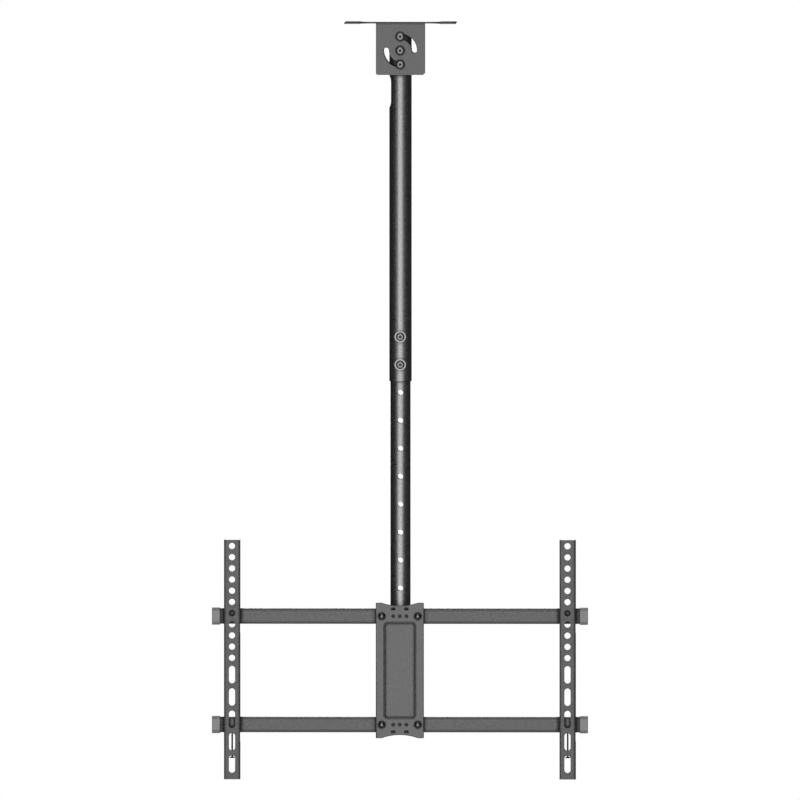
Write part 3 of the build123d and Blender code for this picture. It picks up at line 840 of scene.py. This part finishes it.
@dataclass(frozen=True, kw_only=True)
class Repeated:
    """One small swept shape at several places of a body.

    Attributes:
        title: The piece's name.
        body: The body that the shapes ride on.
        places: Where each of them starts.
        along: The main direction that their axis follows.
        finish: Their finish.
        kind: The tree that makes them.
    """

    title: str
    body: str
    places: Sequence[Point]
    along: Point
    finish: Finish = Finish.FASTENER
    kind: type[PointTree] = PointTree

    def sizes(self) -> dict[str, float]:
        """The tree's size inputs, by name."""
        return {}

    def build(self) -> bpy.types.Object:
        """Make the shapes.

        Returns:
            The piece, one mesh that rides on its body.
        """
        mesh = bpy.data.meshes.new(self.title)
        mesh.from_pydata(self.places, [], [])
        piece = bpy.data.objects.new(self.title, mesh)
        bpy.context.scene.collection.objects.link(piece)
        modifier = piece.modifiers.new("copies", "NODES")
        modifier.node_group = self.kind.tree()
        turn = Vector(UP).rotation_difference(Vector(self.along)).to_euler()
        material = self.finish.value.material()
        set_tree_inputs(modifier, {**self.sizes(), "Rotation": turn, "Material": material})
        flattened(piece)
        for polygon in piece.data.polygons:
            polygon.use_smooth = True
        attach(piece, self.body)
        return piece


@dataclass(frozen=True, kw_only=True)
class Threads(Repeated):
    """Equal threads, such as the tails of a row of bolts.

    Attributes:
        screw: The bolts' size.
        length: The thread's length.
        ridge: The ridge's half thickness, as a share of the pitch.
        sunk: How much of that lies in the shank.
    """

    screw: ScrewSize
    length: float
    ridge: float = 0.22
    sunk: float = 0.3
    kind: type[PointTree] = ThreadTree

    def sizes(self) -> dict[str, float]:
        """Take the sizes from the screw's.

        Returns:
            The tree's size inputs, by name.
        """
        pitch = self.screw.pitch
        ridge = self.ridge * pitch
        radius = self.screw.radius - self.sunk * ridge
        return {"Radius": radius, "Pitch": pitch, "Length": self.length, "Section": ridge}


@dataclass(frozen=True, kw_only=True)
class LockingRings(Repeated):
    """The nylon rings in the round ends of locking nuts.

    Attributes:
        screw: The size of the bolts that they grip.
        section: The radius of a ring's section.
    """

    screw: ScrewSize
    section: float = 0.45 * MM
    finish: Finish = Finish.BEARING
    kind: type[PointTree] = RingTree

    def sizes(self) -> dict[str, float]:
        """The tree's size inputs, by name."""
        return {"Radius": self.screw.radius + self.section, "Section": self.section}


# Sub-assemblies


@dataclass(kw_only=True)
class SubAssembly:
    """Pieces of the mount that move together.

    Attributes:
        body: The body that they ride on.
        nodes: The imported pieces, by name.
    """

    body: str
    nodes: dict[str, bpy.types.Object]

    @property
    def finishes(self) -> dict[str, Finish]:
        """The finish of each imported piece."""
        raise NotImplementedError

    @property
    def edges(self) -> dict[str, Rounding]:
        """The rounding of each piece that gets one."""
        return {}

    def build_meshes(self) -> list[bpy.types.Object]:
        """Make the sub-assembly's rounded pieces and threads.

        Returns:
            The pieces, which ride on the body.
        """
        made = []
        for name, rounding in self.edges.items():
            piece = soften(merged_copy(self.nodes[name], f"{name}_shown"), rounding)
            wear(piece, self.finishes[name])
            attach(piece, self.body)
            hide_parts(name)
            made.append(piece)
        made.extend(shapes.build() for shapes in self.repeated())
        return made

    def repeated(self) -> list[Repeated]:
        """The threads and rings on this sub-assembly's bolts and nuts."""
        return []

    def tails(
        self, bolts: str, places: Sequence[Point], along: Point, screw: ScrewSize, length: float
    ) -> Threads:
        """The threads at the ends of a node's bolts.

        Args:
            bolts: The node's name.
            places: The far end of each bolt's tail.
            along: The direction in which the tails point.
            screw: The bolts' size.
            length: How much of each tail is threaded.

        Returns:
            The threads, which stop a little short of the tails' ends.
        """
        back = Vector(along) * (length + TAIL_POINT)
        starts = [tuple(Vector(place) - back) for place in places]
        return Threads(
            title=f"{bolts}_threads",
            body=self.body,
            places=starts,
            along=along,
            screw=screw,
            length=length,
        )

    def rings(
        self, nuts: str, places: Sequence[Point], along: Point, screw: ScrewSize
    ) -> LockingRings:
        """The nylon rings of a node's locking nuts, whose round ends are at the places."""
        return LockingRings(
            title=f"{nuts}_rings", body=self.body, places=places, along=along, screw=screw
        )

    def rear_places(self, node: str, radius: float) -> list[Point]:
        """The rear ends of a node's upright pair or single bolt or nut.

        Args:
            node: The node's name.
            radius: Half the height of each of its solids.

        Returns:
            The middle of each solid's rear end.
        """
        low, high = self.low(node), self.high(node)
        levels = sorted({round(z, LEVEL_DIGITS) for z in (low.z + radius, high.z - radius)})
        return [((low.x + high.x) / 2, high.y, level) for level in levels]

    def dress(self) -> None:
        """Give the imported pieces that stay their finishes."""
        for name, finish in self.finishes.items():
            wear(self.nodes[name], finish)

    def low(self, name: str) -> Vector:
        """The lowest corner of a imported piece."""
        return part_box(name)[0]

    def high(self, name: str) -> Vector:
        """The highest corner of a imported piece."""
        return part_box(name)[1]


@dataclass(kw_only=True)
class CeilingBracket(SubAssembly):
    """The folded ceiling plate and the bolt that the pole swings on.

    Attributes:
        plain_edge: The rounding of the bracket's edges.
        rolled_edge: The rounding of its flanges' outlines.
        flange_face: How far the flanges' outer faces stand from the pole's axis.
        nut_edge: The rounding of the nut's edges.
        threaded: How much of the pivot bolt's tail is threaded.
    """

    body: str = "ceiling"
    plain_edge: float = 0.4 * MM
    rolled_edge: float = 0.8 * MM
    flange_face: float = 22.4 * MM
    nut_edge: float = 0.2 * MM
    threaded: float = 1.7 * MM

    @property
    def finishes(self) -> dict[str, Finish]:
        """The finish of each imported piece."""
        return {
            "ceiling_bracket": Finish.SHEET,
            "slope_pivot_bolt": Finish.FASTENER,
            "slope_pivot_washer": Finish.FASTENER,
            "slope_pivot_nut": Finish.FASTENER,
        }

    @property
    def edges(self) -> dict[str, Rounding]:
        """The rounding of the bracket and the nut."""
        faces = (-self.flange_face, self.flange_face)
        return {
            "ceiling_bracket": Rounding(self.plain_edge, self.rolled_edge, faces),
            "slope_pivot_nut": Rounding(self.nut_edge),
        }

    def repeated(self) -> list[Repeated]:
        """Find the ends of the pivot bolt and its nut.

        Returns:
            The bolt's thread and the nut's ring.
        """
        tail = self.rear_places("slope_pivot_bolt", M8.head_radius)
        nut = "slope_pivot_nut"
        seat = self.rear_places(nut, (self.high(nut).z - self.low(nut).z) / 2)
        return [
            self.tails("slope_pivot_bolt", tail, REAR, M8, self.threaded),
            self.rings(nut, seat, REAR, M8),
        ]


@dataclass(kw_only=True)
class UpperPole(SubAssembly):
    """The outer tube and the bolts that lock its slope and its height.

    Attributes:
        threaded: How much of each bolt's tail is threaded.
    """

    body: str = "upper_pole"
    threaded: float = 1.7 * MM

    @property
    def finishes(self) -> dict[str, Finish]:
        """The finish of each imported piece."""
        return {
            "outer_tube": Finish.TUBE,
            "slope_lock_bolts": Finish.FASTENER,
            "slope_lock_washers": Finish.FASTENER,
            "slope_lock_nuts": Finish.FASTENER,
            "height_lock_bolts": Finish.FASTENER,
            "height_lock_saddles": Finish.SADDLE,
            "height_lock_nuts": Finish.FASTENER,
        }

    def repeated(self) -> list[Repeated]:
        """Find the ends of the lock bolts and their nuts.

        Returns:
            The bolts' threads and the nuts' rings.
        """
        made: list[Repeated] = []
        for kind in ("slope_lock", "height_lock"):
            tails = self.rear_places(f"{kind}_bolts", M8.head_radius)
            seats = [(x, self.high(f"{kind}_nuts").y, z) for x, _, z in tails]
            made.append(self.tails(f"{kind}_bolts", tails, REAR, M8, self.threaded))
            made.append(self.rings(f"{kind}_nuts", seats, REAR, M8))
        return made


@dataclass(kw_only=True)
class LowerPole(SubAssembly):
    """The inner tube and the swivel at its foot."""

    body: str = "lower_pole"

    @property
    def finishes(self) -> dict[str, Finish]:
        """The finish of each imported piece."""
        return {
            "inner_tube": Finish.TUBE,
            "pole_end_plug": Finish.TUBE,
            "swivel_disc": Finish.BEARING,
            "swivel_bolt": Finish.FASTENER,
            "swivel_washer": Finish.FASTENER,
            "swivel_nut": Finish.FASTENER,
        }


@dataclass(kw_only=True)
class SwivelHead(SubAssembly):
    """The fork that turns under the pole and carries the tilt axis.

    Attributes:
        yoke_edge: The rounding of the fork's edges.
    """

    body: str = "swivel_head"
    yoke_edge: float = 0.5 * MM

    @property
    def finishes(self) -> dict[str, Finish]:
        """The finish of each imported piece."""
        return {
            "tilt_yoke": Finish.SHEET,
            "tilt_spacer": Finish.TUBE,
            "tilt_lock_bolts": Finish.FASTENER,
            "tilt_lock_nuts": Finish.FASTENER,
        }

    @property
    def edges(self) -> dict[str, Rounding]:
        """The rounding of the fork."""
        return {"tilt_yoke": Rounding(self.yoke_edge)}


@dataclass(kw_only=True)
class TelevisionFrame(SubAssembly):
    """The tilt bracket, the two rails with their caps, and the pressed centre plate.

    Attributes:
        bracket_edge: The rounding of the tilt bracket's edges.
        plate_edge: The rounding of the centre plate's edges.
        plate_rolled_edge: The rounding of its outline.
        plate_front: The depth of its front face.
        plate_slots: The plate's slots have shorter outlines than this and aren't rolled.
        screw_edge: The rounding of the frame screws' edges.
        screw_threaded: How much of a frame screw's tail is threaded.
        pivot_threaded: How much of the tilt bolt's tail is threaded.
    """

    body: str = "tv_frame"
    bracket_edge: float = 0.5 * MM
    plate_edge: float = 0.4 * MM
    plate_rolled_edge: float = 1.5 * MM
    plate_front: float = -48.0 * MM
    plate_slots: float = 100 * MM
    screw_edge: float = 0.15 * MM
    screw_threaded: float = 1.1 * MM
    pivot_threaded: float = 0.7 * MM

    @property
    def finishes(self) -> dict[str, Finish]:
        """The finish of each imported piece."""
        return {
            "tilt_bracket": Finish.SHEET,
            "tilt_pivot_bolt": Finish.FASTENER,
            "tilt_pivot_nut": Finish.FASTENER,
            "tilt_washers": Finish.BEARING,
            "centre_plate": Finish.PLATE,
            "frame_screws": Finish.GLOSS_SCREW,
            "frame_nuts": Finish.FASTENER,
            "upper_rail": Finish.RAIL,
            "lower_rail": Finish.RAIL,
            "upper_left_cap": Finish.CAP,
            "upper_right_cap": Finish.CAP,
            "lower_left_cap": Finish.CAP,
            "lower_right_cap": Finish.CAP,
        }

    @property
    def edges(self) -> dict[str, Rounding]:
        """The rounding of the bracket, the plate and the screws."""
        front = (self.plate_front,)
        return {
            "tilt_bracket": Rounding(self.bracket_edge),
            "centre_plate": Rounding(
                self.plate_edge, self.plate_rolled_edge, front, self.plate_slots
            ),
            "frame_screws": Rounding(self.screw_edge),
        }

    def repeated(self) -> list[Repeated]:
        """Find the ends of the frame screws, of the tilt bolt and of their nuts.

        Returns:
            Their threads and the nuts' rings.
        """
        low, high = self.low("frame_screws"), self.high("frame_screws")
        head = M6.head_radius
        across, levels = (low.x + head, high.x - head), (low.z + head, high.z - head)
        spots = [(x, z) for x in across for z in levels]
        tails = [(x, high.y, z) for x, z in spots]
        seats = [(x, self.high("frame_nuts").y, z) for x, z in spots]
        bolt, nut = self.high("tilt_pivot_bolt"), self.high("tilt_pivot_nut")
        middle = (self.low("tilt_pivot_nut") + nut) / 2
        pivot_tail = [(bolt.x, middle.y, middle.z)]
        pivot_seat = [(nut.x, middle.y, middle.z)]
        return [
            self.tails("frame_screws", tails, REAR, M6, self.screw_threaded),
            self.rings("frame_nuts", seats, REAR, M6),
            self.tails("tilt_pivot_bolt", pivot_tail, RIGHT, M8, self.pivot_threaded),
            self.rings("tilt_pivot_nut", pivot_seat, RIGHT, M8),
        ]


class Hand(Enum):
    """The side of a piece, as a viewer of the screen sees it."""

    LEFT = "left"
    RIGHT = "right"


@dataclass(kw_only=True)
class HangingArm(SubAssembly):
    """One slotted arm with its lug and safety screw.

    Attributes:
        hand: The arm's side.
        plain_edge: The rounding of the arm's edges.
        rolled_edge: The rounding of its front face's outlines.
        front: The depth of its front face.
        screw_head_height: The height of the safety screw's head.
    """

    hand: Hand
    plain_edge: float = 0.4 * MM
    rolled_edge: float = 0.6 * MM
    front: float = -52.0 * MM
    screw_head_height: float = 3.0 * MM

    @property
    def finishes(self) -> dict[str, Finish]:
        """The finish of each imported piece."""
        side = self.hand.value
        return {
            f"{side}_arm": Finish.ARM,
            f"{side}_lock_tab": Finish.SHEET,
            f"{side}_safety_screw": Finish.DARK_SCREW,
        }

    @property
    def edges(self) -> dict[str, Rounding]:
        """The rounding of the arm."""
        rounding = Rounding(self.plain_edge, self.rolled_edge, (self.front,))
        return {f"{self.hand.value}_arm": rounding}

    def repeated(self) -> list[Repeated]:
        """Find the safety screw's shank between its head and the rail.

        Returns:
            The long thread on it.
        """
        screw = f"{self.hand.value}_safety_screw"
        low, high = self.low(screw), self.high(screw)
        middle = (low + high) / 2
        start = (middle.x, middle.y, low.z + self.screw_head_height)
        thread = Threads(
            title=f"{screw}_thread",
            body=self.body,
            places=[start],
            along=UP,
            screw=SAFETY_SCREW,
            length=high.z - start[2],
        )
        return [thread]


# Studio


@dataclass(frozen=True)
class Softbox:
    """A rectangular lamp that looks at a point.

    Attributes:
        title: The lamp's name.
        place: Where it hangs.
        aim: The point that it looks at.
        size: Its width and height.
        radiance: How bright its face is; 1 is paper white.
    """

    title: str
    place: Point
    aim: Point
    size: tuple[float, float]
    radiance: float

    def build(self) -> None:
        """Hang the lamp, out of the camera's sight."""
        lamp = bpy.data.lights.new(self.title, "AREA")
        lamp.shape = "RECTANGLE"
        width, height = self.size
        lamp.size = width
        lamp.size_y = height
        lamp.energy = self.radiance * math.pi * width * height
        holder = bpy.data.objects.new(self.title, lamp)
        holder.location = self.place
        direction = Vector(self.aim) - Vector(self.place)
        holder.rotation_euler = direction.to_track_quat("-Z", "Y").to_euler()
        holder.visible_camera = False
        bpy.context.scene.collection.objects.link(holder)


@dataclass(kw_only=True)
class Studio:
    """The floor, the world, the lamps and the camera.

    Attributes:
        middle: The middle of the mount.
        foot: The level of its lowest point.
        camera_azimuth: How far the camera stands to the right of the front, in degrees.
        camera_elevation: How far it stands above the level, in degrees.
        camera_width: The width of its view.
        camera_reach: How far it sees.
        looks_at: The middle of its view.
        distance: How far it stands off.
        floor_gap: How far the floor lies below the mount.
        floor_radius: The floor's radius.
        floor_sides: How many sides its outline has.
        floor_tone: The floor's linear grey.
        ambient: The strength of the even light from all round.
        front_x: How far to the left the front lamps hang.
        front_drop: How far they hang below the middle.
        card_side: How far the side cards stand to each side.
        card_front: How far they reach to the front.
        card_rear: How far they reach to the rear, where they meet.
        card_levels: The levels of their foot and top.
        left_card: The left card's and the flag's linear grey.
        right_card: The right card's linear grey.
        flag_rear: How far the flag stands behind the mount's middle.
        flag_width: The flag's width.
        flag_levels: The levels of its foot and top.
    """

    middle: Vector
    foot: float
    camera_azimuth: float = 1.5
    camera_elevation: float = 1.6
    camera_width: float = 1.4303
    camera_reach: float = 100.0
    looks_at: Point = (-0.0009, 0.0, -0.6759)
    distance: float = 6.0
    floor_gap: float = 0.6
    floor_radius: float = 1.9
    floor_sides: int = 96
    floor_tone: float = 0.85
    ambient: float = 0.5
    front_x: float = -0.13
    front_drop: float = 0.3
    card_side: float = 2.2
    card_front: float = -3.4
    card_rear: float = 4.5
    card_levels: tuple[float, float] = (-4.0, 2.5)
    left_card: float = 0.01
    right_card: float = 0.04
    flag_rear: float = 0.3
    flag_width: float = 1.2
    flag_levels: tuple[float, float] = (0.003, 0.9)

    def build(self) -> None:
        """Set up everything that isn't part of the mount."""
        self.build_world()
        self.build_floor()
        self.build_cards()
        for box in self.softboxes():
            box.build()
        self.build_camera()
        bpy.context.scene.view_settings.view_transform = "Standard"

    def softboxes(self) -> list[Softbox]:
        """Place the lamps round the mount.

        Returns:
            A broad front box with a brighter core, one above and one behind.
        """
        aim = (0.0, 0.0, self.middle.z)
        x, z = self.front_x, self.middle.z - self.front_drop
        return [
            Softbox("front_box", (x, -2.6, z), aim, size=(3.7, 2.8), radiance=2.9),
            Softbox("front_core", (x, -2.55, z), aim, size=(1.5, 2.6), radiance=2.7),
            Softbox("top_box", (0.0, -0.3, 1.6), aim, size=(2.0, 1.2), radiance=2.0),
            Softbox("rear_box", (0.0, 2.6, 1.0), aim, size=(1.8, 1.8), radiance=8.0),
        ]

    def build_world(self) -> None:
        """Light the scene softly and show white behind the mount."""
        world = bpy.data.worlds.new("studio")
        world.use_nodes = True
        bpy.context.scene.world = world
        pad = ShaderPad(world.node_tree)
        ray = pad.add("ShaderNodeLightPath").outputs
        seen = pad.maths("MAXIMUM", ray["Is Camera Ray"], ray["Is Glossy Ray"])
        seen = pad.maths("MAXIMUM", seen, ray["Is Transmission Ray"])
        light = pad.fill(pad.add("ShaderNodeBackground"), Color=WHITE, Strength=self.ambient)
        white = pad.fill(pad.add("ShaderNodeBackground"), Color=WHITE, Strength=1.0)
        mix = pad.add("ShaderNodeMixShader")
        pad.join(seen, mix.inputs[0])
        pad.join(light.outputs[0], mix.inputs[1])
        pad.join(white.outputs[0], mix.inputs[2])
        pad.join(mix.outputs[0], pad.add("ShaderNodeOutputWorld").inputs["Surface"])

    def build_floor(self) -> None:
        """Lay a plain pale floor under the hanging mount."""
        shape = bmesh.new()
        bmesh.ops.create_circle(
            shape, cap_ends=True, segments=self.floor_sides, radius=self.floor_radius
        )
        mesh = bpy.data.meshes.new("floor")
        shape.to_mesh(mesh)
        shape.free()
        mesh.transform(Matrix.Translation((0, 0, self.foot - self.floor_gap)))
        floor = bpy.data.objects.new("floor", mesh)
        bpy.context.scene.collection.objects.link(floor)
        mesh.materials.append(plain_material("floor paper", self.floor_tone))
        floor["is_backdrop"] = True

    def build_cards(self) -> None:
        """Stand dark cards round the sides, and a flag between the rear lamp and the bracket."""
        sides = ((Hand.LEFT, -1, self.left_card), (Hand.RIGHT, 1, self.right_card))
        for hand, side, tone in sides:
            x = side * self.card_side
            bend = [(x, self.card_front), (x, self.card_rear), (0.0, self.card_rear)]
            corners = [(*place, level) for level in self.card_levels for place in bend]
            self.stand_card(f"{hand.value}_card", corners, [(0, 1, 4, 3), (1, 2, 5, 4)], tone)
        ends = (-self.flag_width / 2, self.flag_width / 2)
        corners = [(x, self.flag_rear, z) for z in self.flag_levels for x in ends]
        self.stand_card("flag", corners, [(0, 1, 3, 2)], self.left_card)

    def stand_card(
        self, name: str, corners: list[Point], faces: list[tuple[int, ...]], tone: float
    ) -> None:
        """Stand one dark card that no camera sees.

        Args:
            name: The card's name.
            corners: Its corner points.
            faces: The corners of each face, by number.
            tone: Its linear grey.
        """
        mesh = bpy.data.meshes.new(name)
        mesh.from_pydata(corners, [], faces)
        card = bpy.data.objects.new(name, mesh)
        bpy.context.scene.collection.objects.link(card)
        mesh.materials.append(plain_material(f"{name} paper", tone))
        card.visible_camera = False
        card.visible_diffuse = False
        card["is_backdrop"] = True

    def build_camera(self) -> None:
        """Set the camera at the photograph's angle and frame."""
        lens = bpy.data.cameras.new("camera")
        lens.type = "ORTHO"
        lens.ortho_scale = self.camera_width
        lens.clip_end = self.camera_reach
        camera = bpy.data.objects.new("camera", lens)
        turn, rise = math.radians(self.camera_azimuth), math.radians(self.camera_elevation)
        back = Vector(
            (math.sin(turn) * math.cos(rise), -math.cos(turn) * math.cos(rise), math.sin(rise))
        )
        camera.location = Vector(self.looks_at) + back * self.distance
        camera.rotation_euler = (-back).to_track_quat("-Z", "Y").to_euler()
        bpy.context.scene.collection.objects.link(camera)
        bpy.context.scene.camera = camera


def plain_material(title: str, tone: float) -> bpy.types.Material:
    """A matt material of one grey for the stage.

    Args:
        title: The material's name.
        tone: Its linear grey.

    Returns:
        The material.
    """
    material = bpy.data.materials.new(title)
    material.use_nodes = True
    surface = material.node_tree.nodes["Principled BSDF"]
    surface.inputs["Base Color"].default_value = (tone, tone, tone, 1.0)
    surface.inputs["Roughness"].default_value = 0.9
    surface.inputs["Specular IOR Level"].default_value = 0.1
    return material


def main() -> None:
    """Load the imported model, build its looks and the studio, and note the sizes."""
    logging.basicConfig(level=logging.INFO, format="%(name)s: %(message)s")
    for thing in list(bpy.data.objects):
        bpy.data.objects.remove(thing)
    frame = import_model()
    packed_low, packed_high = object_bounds()
    nodes = frame["nodes"]
    parts = [
        CeilingBracket(nodes=nodes),
        UpperPole(nodes=nodes),
        LowerPole(nodes=nodes),
        SwivelHead(nodes=nodes),
        TelevisionFrame(nodes=nodes),
        HangingArm(body="left_hanger", nodes=nodes, hand=Hand.LEFT),
        HangingArm(body="right_hanger", nodes=nodes, hand=Hand.RIGHT),
    ]
    for part in parts:
        part.dress()
        for piece in part.build_meshes():
            log.info("%s on %s: %d faces", piece.name, part.body, len(piece.data.polygons))
    Studio(middle=(packed_low + packed_high) / 2, foot=packed_low.z).build()


if __name__ == "__main__":
    main()
